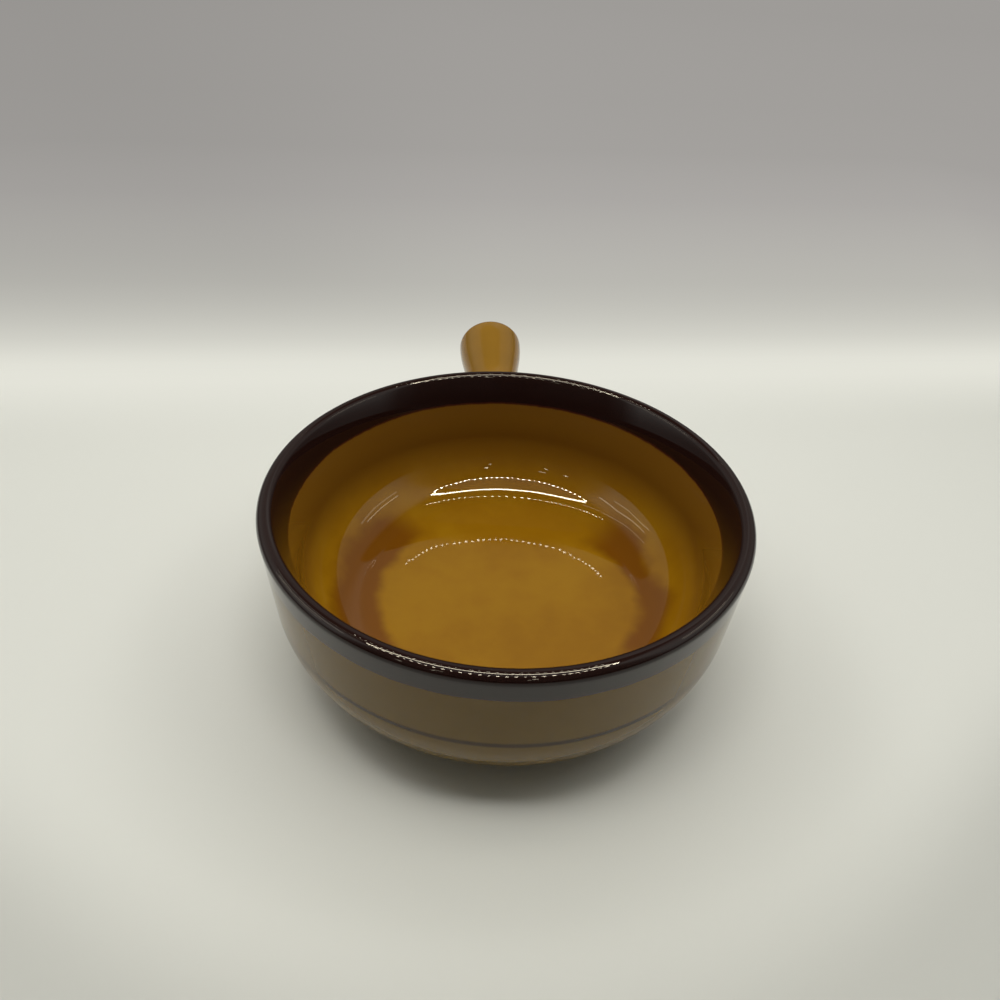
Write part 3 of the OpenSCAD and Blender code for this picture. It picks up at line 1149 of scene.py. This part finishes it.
    def make_lamps(self):
        """The soft lights, the strip lamps that the glaze mirrors, and the panel among them"""
        ceiling = self.studio.ceiling
        radius = self.form.rim_radius
        level = self.facing_down(self.right)
        for name, (x, y), (wide, deep), radiance in SOFT:
            place = self.ground(x, y, ceiling + 2 * APART)
            soft = self.lamp(name, place, level, (wide * radius, deep * radius), radiance)
            soft.visible_glossy = False
        for name, width, radiance, pitch, points in STRIPS:
            places = [self.ground(x, y, ceiling) for x, y in points]
            for start, end in zip(places, places[1:]):
                run = end - start
                dots = round(run.length / pitch) if pitch else 0
                size = (run.length + width * STRIP_OVERLAP, width)
                aim = self.facing_down(run)
                strip = self.lamp(name, (start + end) / 2, aim, size, radiance, STRIP_TINT, True, dots)
                strip.visible_diffuse = False
        place = self.ground(*PANEL_PLACE, ceiling + APART)
        size = [side * radius for side in PANEL_SIZE]
        # An ellipse has pi / 4 of the area of the rectangle round it
        panel = self.lamp("loop_panel", place, level, size, PANEL_RADIANCE * pi / 4)
        panel.data.shape = "ELLIPSE"
        panel.visible_diffuse = False

    def make_world(self):
        """A pale room with a dark ceiling and a dark side behind the camera"""
        world = bpy.data.worlds.new("room")
        world.use_nodes = True
        tree = Tree(world.node_tree, "ShaderNode")
        tree.nodes.clear()
        toward = tree.add("TexCoord").outputs["Generated"]
        x, y, z = (Value(tree, out) for out in tree.add("SeparateXYZ", values={0: toward}).outputs)
        across = x * self.right.x + y * self.right.y
        ahead = x * self.ahead.x + y * self.ahead.y
        turn = across.math("ARCTAN2", ahead)
        stops = [(degrees / 360 + 0.5, (light,) * 3) for degrees, light in ROOM]
        level = tree.value("ValToRGB", {"stops": stops}, {0: turn / (2 * pi) + 0.5})
        height = z.most(LEAST_HEIGHT)
        over = 1 - tree.step(ahead / height, *CEILING_AHEAD)
        over = over * (1 - tree.step(across / height, *CEILING_RIGHT))
        over = over * (1 - tree.step(across / height * -1, *CEILING_LEFT))
        level = level + (CEILING - level) * over
        up = tree.step(z, *(sin(radians(e)) for e in ROOM_FOOT))
        level = level * (up * (1 - FOOT_SHARE) + FOOT_SHARE)
        seen = Value(tree, tree.add("LightPath").outputs["Is Camera Ray"])
        level = level + (ROOM_SEEN - level) * seen
        tinting = {"data_type": "RGBA", "blend_type": "MULTIPLY"}
        tint = tree.add("Mix", tinting, {0: 1.0, 6: level, 7: ROOM_TINT})
        light = tree.add("Background", values={"Color": tint.outputs[2]})
        tree.add("OutputWorld", values={"Surface": light.outputs[0]})
        bpy.context.scene.world = world

    def make_camera(self):
        """The camera, swung so that the rim's centre lies at its own pixel"""
        studio = self.studio
        e = studio.elevation
        back = -cos(e) * self.ahead + Vector((0, 0, sin(e)))
        level = Matrix((self.right, back.cross(self.right), -back))
        rolled = Matrix.Rotation(-studio.roll, 3, "Z")
        half = IMAGE_SIDE / 2
        u, v = RIM_CENTRE_PIXEL
        aim = Vector(((u - half) / FOCAL_PIXELS, (half - v) / FOCAL_PIXELS, 1)).normalized()
        swing = Vector((0, 0, 1)).rotation_difference(aim).to_matrix()
        view = swing @ rolled @ level
        camera = bpy.data.cameras.new("camera")
        camera.sensor_width = SENSOR
        camera.lens = SENSOR * FOCAL_PIXELS / IMAGE_SIDE
        camera.clip_start = CLIP_START
        obj = show(camera, "camera")
        obj.matrix_world = Matrix((view[0], view[1], -view[2])).transposed().to_4x4()
        obj.matrix_world.translation = Vector((0, 0, self.form.height)) + studio.distance * back
        bpy.context.scene.camera = obj
        bpy.context.scene.view_settings.view_transform = "Standard"


STEPS = (
    BOWL_OT_stage,
    BOWL_OT_inside_coat,
    BOWL_OT_rim_coat,
    BOWL_OT_outside_coat,
    BOWL_OT_line_coat,
    BOWL_OT_base_coat,
    BOWL_OT_handle_coat,
    BOWL_OT_bare_clay,
)


class BOWL_PT_panel(bpy.types.Panel):
    """Lists the bowl's pieces and their settings"""
    bl_idname = "BOWL_PT_panel"
    bl_label = "Lug Soup Bowl"
    bl_space_type = "VIEW_3D"
    bl_region_type = "UI"
    bl_category = "Soup Bowl"

    def draw(self, context):
        layout = self.layout
        for step in STEPS:
            layout.operator(step.bl_idname)
        for _, name in GROUPS:
            box = layout.box()
            group = getattr(context.scene, name)
            for prop in group.bl_rna.properties:
                if prop.identifier not in {"rna_type", "name"}:
                    box.prop(group, prop.identifier)


GROUPS = (
    (BowlForm, "bowl_form"),
    (GlazeCoats, "bowl_coats"),
    (HandleForm, "bowl_handle"),
    (Finishes, "bowl_finishes"),
    (Studio, "bowl_studio"),
)
CLASSES = [kind for kind, _ in GROUPS] + list(STEPS) + [BOWL_PT_panel]


def register():
    for kind in CLASSES:
        bpy.utils.register_class(kind)
    for kind, name in GROUPS:
        setattr(bpy.types.Scene, name, PointerProperty(type=kind))


def unregister():
    for _, name in GROUPS:
        delattr(bpy.types.Scene, name)
    for kind in reversed(CLASSES):
        bpy.utils.unregister_class(kind)


def main():
    register()
    for step in STEPS:
        category, name = step.bl_idname.split(".")
        getattr(getattr(bpy.ops, category), name)()


if __name__ == "__main__":
    main()
